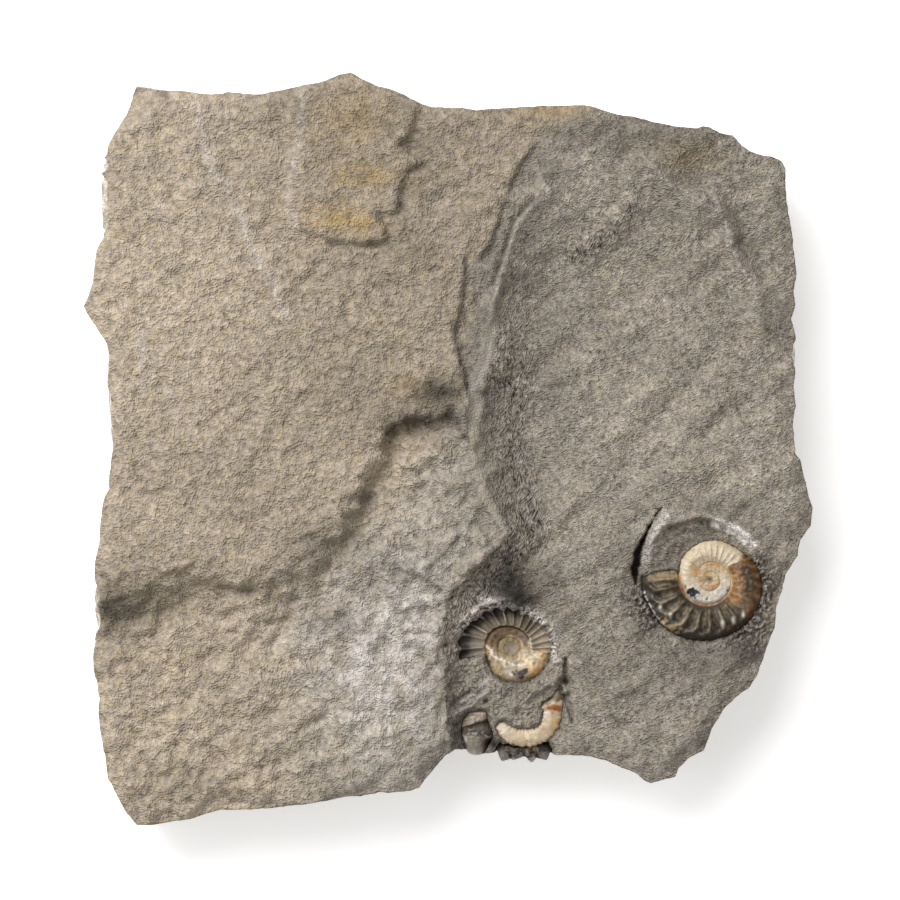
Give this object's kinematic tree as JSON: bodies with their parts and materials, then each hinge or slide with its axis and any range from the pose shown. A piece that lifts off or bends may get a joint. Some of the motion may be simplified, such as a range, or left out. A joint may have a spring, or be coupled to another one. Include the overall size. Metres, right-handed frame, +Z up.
{
  "type": "ammonite cluster plate",
  "caption": "Flat slab of grey-brown limestone with a stepped, ridged face and small ribbed ammonites prepared out of it, resting on its flat underside.",
  "frame": {"origin": "bottom centre of the slab's bounding box, on the surface that it rests on", "axes": "+Z up out of the fossil face, +Y towards the top edge as the face is seen, +X to its right"},
  "size_m": [0.219, 0.2258, 0.0389],
  "materials": {
    "limestone": "rough broken limestone, weathered tan at the left and tooled grey at the right",
    "brown_calcite": "ribbed fossil shell, cream at the middle and glossy dark brown outside",
    "tan_calcite": "ribbed fossil shell, tan and cream with white veins",
    "cream_calcite": "smooth cream and peach fossil shell",
    "grey_calcite": "worn grey and tan fossil shell",
    "amber_calcite": "lumpy amber and dark calcite crystals with pale edges"
  },
  "bodies": {
    "root": {"matrix_slab": "limestone", "ammonite_large": "brown_calcite", "ammonite_middle": "tan_calcite", "ammonite_arc": "cream_calcite", "ammonite_fragment": "grey_calcite", "calcite_lumps": "amber_calcite"}
  },
  "joints": []
}
